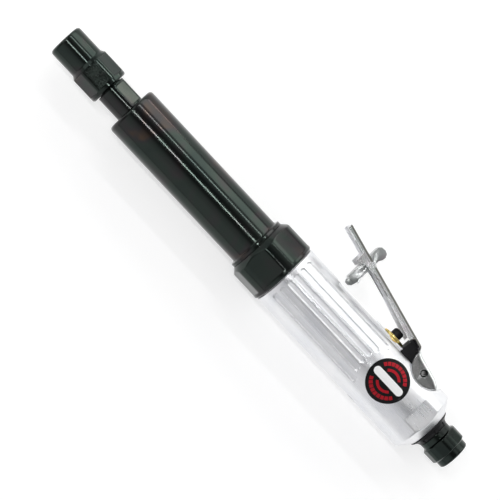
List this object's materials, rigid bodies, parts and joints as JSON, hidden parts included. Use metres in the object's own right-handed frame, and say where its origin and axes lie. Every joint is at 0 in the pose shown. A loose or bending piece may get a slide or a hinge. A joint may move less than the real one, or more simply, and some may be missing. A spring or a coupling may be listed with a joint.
{
  "type": "die grinder",
  "caption": "Straight air die grinder with a long steel nose, collet nut, bright alloy grip, safety-catch throttle lever and threaded rear inlet.",
  "frame": {"origin": "centre of the collet mouth, on the spindle axis", "axes": "+X out of the collet along the spindle, +Z towards the badge side, which is up as it lies; the throttle lever points to -Y"},
  "size_m": [0.286, 0.0638, 0.0376],
  "materials": {
    "black_steel": "gloss black oxide",
    "cast_aluminium": "polished casting",
    "bright_plate": "bright zinc plate",
    "valve_brass": "turned",
    "black_plastic": "moulded",
    "black_rubber": "matte",
    "felt": "pressed felt",
    "badge_face": "printed, under clear film",
    "phenolic": "laminate",
    "iron": "ground",
    "bearing_steel": "ground"
  },
  "bodies": {
    "handle": {"handle": "cast_aluminium", "clamp_nut": "black_steel", "extension_tube": "black_steel", "dust_seal": "felt", "bearing_spacer": "bearing_steel", "bearing_retaining_ring": "bearing_steel", "front_end_plate": "iron", "rear_end_plate": "iron", "motor_cylinder": "iron", "cylinder_dowel": "bearing_steel", "name_badge": "badge_face", "valve_bushing": "valve_brass", "valve_spring": "bearing_steel", "regulator_clip": "bearing_steel", "lever_pivot_pin": "bright_plate", "lever_cushion": "black_rubber", "inlet_bushing": "black_steel", "inlet_strainer": "valve_brass", "inlet_o_ring": "black_rubber", "deflector_o_ring": "black_rubber", "silencer_felt": "felt", "front_spindle_bearing_outer_race": "bearing_steel", "rear_spindle_bearing_outer_race": "bearing_steel", "front_rotor_bearing_outer_race": "bearing_steel", "rear_rotor_bearing_outer_race": "bearing_steel"},
    "spindle": {"extension_spindle": "black_steel", "drive_coupling": "bearing_steel", "rotor": "bearing_steel", "rotor_vanes": "phenolic", "front_spindle_bearing_inner_race": "bearing_steel", "rear_spindle_bearing_inner_race": "bearing_steel", "front_rotor_bearing_inner_race": "bearing_steel", "rear_rotor_bearing_inner_race": "bearing_steel"},
    "spindle_balls": {"front_spindle_bearing_balls": "bearing_steel", "front_spindle_bearing_cage": "bearing_steel", "rear_spindle_bearing_balls": "bearing_steel", "rear_spindle_bearing_cage": "bearing_steel"},
    "rotor_balls": {"front_rotor_bearing_balls": "bearing_steel", "front_rotor_bearing_cage": "bearing_steel", "rear_rotor_bearing_balls": "bearing_steel", "rear_rotor_bearing_cage": "bearing_steel"},
    "collet": {"collet": "black_steel"},
    "collet_nut": {"collet_nut": "black_steel"},
    "lever": {"throttle_lever": "bright_plate", "catch_pin": "bright_plate"},
    "catch": {"safety_catch": "bright_plate", "catch_spring": "bright_plate"},
    "valve": {"push_pin": "black_plastic", "throttle_valve": "valve_brass", "valve_o_ring": "black_rubber"},
    "regulator": {"air_regulator": "bearing_steel", "regulator_o_ring": "black_rubber"},
    "deflector": {"exhaust_deflector": "black_plastic"}
  },
  "joints": [
    {"name": "spindle_spin", "type": "hinge", "parent": "handle", "child": "spindle", "pos_m": [0, 0, 0], "axis": [1, 0, 0], "continuous": true},
    {"name": "spindle_balls_roll", "type": "hinge", "parent": "handle", "child": "spindle_balls", "pos_m": [-0.09, 0, 0], "axis": [1, 0, 0], "continuous": true},
    {"name": "rotor_balls_roll", "type": "hinge", "parent": "handle", "child": "rotor_balls", "pos_m": [-0.18, 0, 0], "axis": [1, 0, 0], "continuous": true},
    {"name": "collet_release", "type": "slide", "parent": "spindle", "child": "collet", "axis": [1, 0, 0], "range_m": [0, 0.00125]},
    {"name": "collet_nut_turn", "type": "hinge", "parent": "collet", "child": "collet_nut", "pos_m": [-0.02, 0, 0], "axis": [1, 0, 0], "range_deg": [0, 450]},
    {"name": "lever_press", "type": "hinge", "parent": "handle", "child": "lever", "pos_m": [-0.2441, -0.0166, 0], "axis": [0, 0, 1], "range_deg": [0, 10], "stiffness_Nm_per_rad": 0.4, "springref_deg": -5.73, "deforming": ["lever_cushion"]},
    {"name": "valve_press", "type": "slide", "parent": "handle", "child": "valve", "axis": [0, 1, 0], "range_m": [0, 0.001], "deforming": ["valve_spring"]},
    {"name": "catch_swing", "type": "hinge", "parent": "lever", "child": "catch", "pos_m": [-0.1869, -0.0344, 0], "axis": [0, 0, 1], "range_deg": [0, 63], "stiffness_Nm_per_rad": 0.003, "springref_deg": -28.65, "deforming": ["catch_spring"]},
    {"name": "regulator_turn", "type": "hinge", "parent": "handle", "child": "regulator", "pos_m": [-0.2287, 0.01, 0], "axis": [0, 1, 0], "range_deg": [-90, 90]},
    {"name": "deflector_turn", "type": "hinge", "parent": "handle", "child": "deflector", "pos_m": [-0.2685, 0, 0], "axis": [1, 0, 0], "continuous": true}
  ],
  "couplings": [
    {"joint": "spindle_balls_roll", "follows": "spindle_spin", "ratio": 0.40556},
    {"joint": "rotor_balls_roll", "follows": "spindle_spin", "ratio": 0.4},
    {"joint": "collet_nut_turn", "follows": "collet_release", "rad_per_m": 6283},
    {"joint": "valve_press", "follows": "lever_press", "m_per_rad": 0.005729},
    {"joint": "catch_swing", "follows": "lever_press", "ratio": 6.299}
  ]
}
